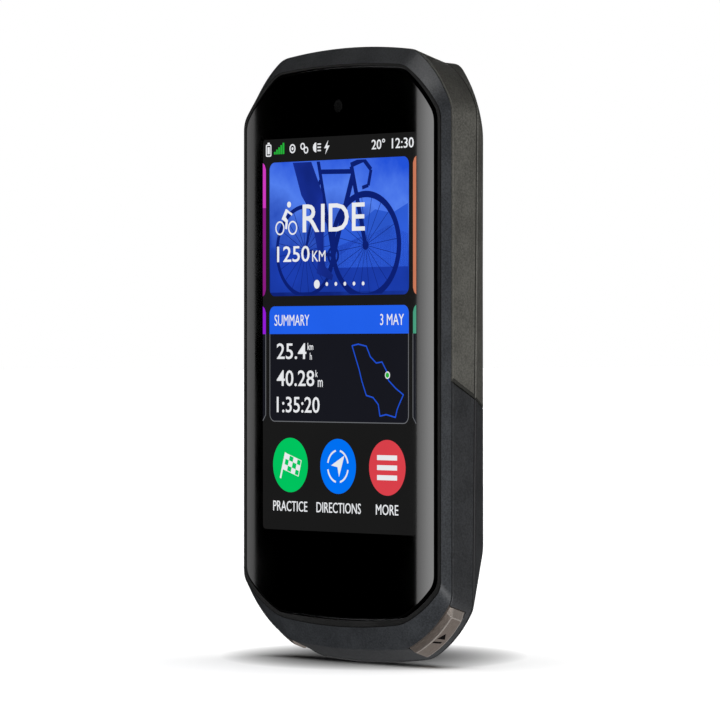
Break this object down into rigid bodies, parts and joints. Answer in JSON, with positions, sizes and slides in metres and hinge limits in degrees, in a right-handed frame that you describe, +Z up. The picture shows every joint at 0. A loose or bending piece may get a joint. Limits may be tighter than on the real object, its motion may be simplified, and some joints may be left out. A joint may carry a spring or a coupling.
{
  "type": "cycling computer",
  "caption": "Handlebar computer for a bicycle: tall touch screen in a slim sealed case, with corner keys, a power key, a port flap and a quarter-turn mount on its back.",
  "frame": {"origin": "middle of the flat rear face of the quarter-turn mount", "axes": "+X to the right of someone looking at the screen, +Y from the screen towards the mount, +Z up along the screen's height"},
  "size_m": [0.0603, 0.0163, 0.1185],
  "materials": {
    "bezel_plastic": "fine-grained satin",
    "taupe_plastic": "fine-grained matt",
    "slate_plastic": "fine-grained matt",
    "key_metal": "brushed and anodised",
    "black_glass": "polished, black behind",
    "display": "smooth",
    "frame_metal": "die cast",
    "black_rubber": "matt",
    "adhesive": "matt foam tape",
    "circuit_board": "solder mask",
    "shield_metal": "tinned sheet",
    "cell_foil": "laminated foil",
    "polyimide": "flexible circuit",
    "antenna_ceramic": "unglazed",
    "black_plastic": "moulded",
    "mount_metal": "black anodised",
    "screw_steel": "blackened",
    "gold_plate": "gold plated",
    "woven_mesh": "fine weave"
  },
  "bodies": {
    "case": {"front_bezel": "bezel_plastic", "cover_glass": "black_glass", "glass_adhesive": "adhesive", "display_panel": "display", "display_ribbon": "polyimide", "light_sensor": "display", "upper_rear_shell": "taupe_plastic", "lower_rear_shell": "slate_plastic", "housing_seal": "black_rubber", "inner_frame": "frame_metal", "main_board": "circuit_board", "processor_shield": "shield_metal", "radio_shield": "shield_metal", "satellite_antenna": "antenna_ceramic", "radio_antenna": "polyimide", "board_screw_1": "screw_steel", "board_screw_2": "screw_steel", "battery": "cell_foil", "battery_pad": "adhesive", "battery_lead": "polyimide", "battery_socket": "black_plastic", "lower_board": "circuit_board", "board_link_ribbon": "polyimide", "speaker": "black_plastic", "speaker_mesh": "woven_mesh", "vent_membrane": "woven_mesh", "usb_receptacle": "shield_metal", "flap_anchor": "black_rubber", "contact_carrier": "black_plastic", "battery_pack_contact_1": "gold_plate", "battery_pack_contact_2": "gold_plate", "battery_pack_contact_3": "gold_plate", "battery_pack_contact_4": "gold_plate", "lanyard_bar": "screw_steel", "quarter_turn_mount": "mount_metal", "mount_screw_1": "screw_steel", "mount_screw_2": "screw_steel", "mount_screw_3": "screw_steel", "mount_screw_4": "screw_steel", "housing_screw_1": "screw_steel", "housing_screw_2": "screw_steel", "housing_screw_3": "screw_steel", "housing_screw_4": "screw_steel", "start_stop_key_seal": "black_rubber", "start_stop_switch": "black_plastic", "lap_key_seal": "black_rubber", "lap_switch": "black_plastic", "power_key_seal": "black_rubber", "power_switch": "black_plastic"},
    "start_stop_key": {"start_stop_key": "key_metal"},
    "lap_key": {"lap_key": "key_metal"},
    "power_key": {"power_key": "key_metal"},
    "port_flap": {"usb_flap": "black_rubber"}
  },
  "joints": [
    {"name": "start_stop_press", "type": "slide", "parent": "case", "child": "start_stop_key", "axis": [-0.6199, 0, 0.7847], "range_m": [0, 0.0004], "stiffness_N_per_m": 1500},
    {"name": "lap_press", "type": "slide", "parent": "case", "child": "lap_key", "axis": [0.6199, 0, 0.7847], "range_m": [0, 0.0004], "stiffness_N_per_m": 1500},
    {"name": "power_press", "type": "slide", "parent": "case", "child": "power_key", "axis": [1, 0, 0], "range_m": [0, 0.0004], "stiffness_N_per_m": 1500},
    {"name": "port_flap_swing", "type": "hinge", "parent": "case", "child": "port_flap", "pos_m": [0, -0.00571, -0.05952], "axis": [1, 0, 0], "range_deg": [0, 100], "stiffness_Nm_per_rad": 0.0004}
  ]
}
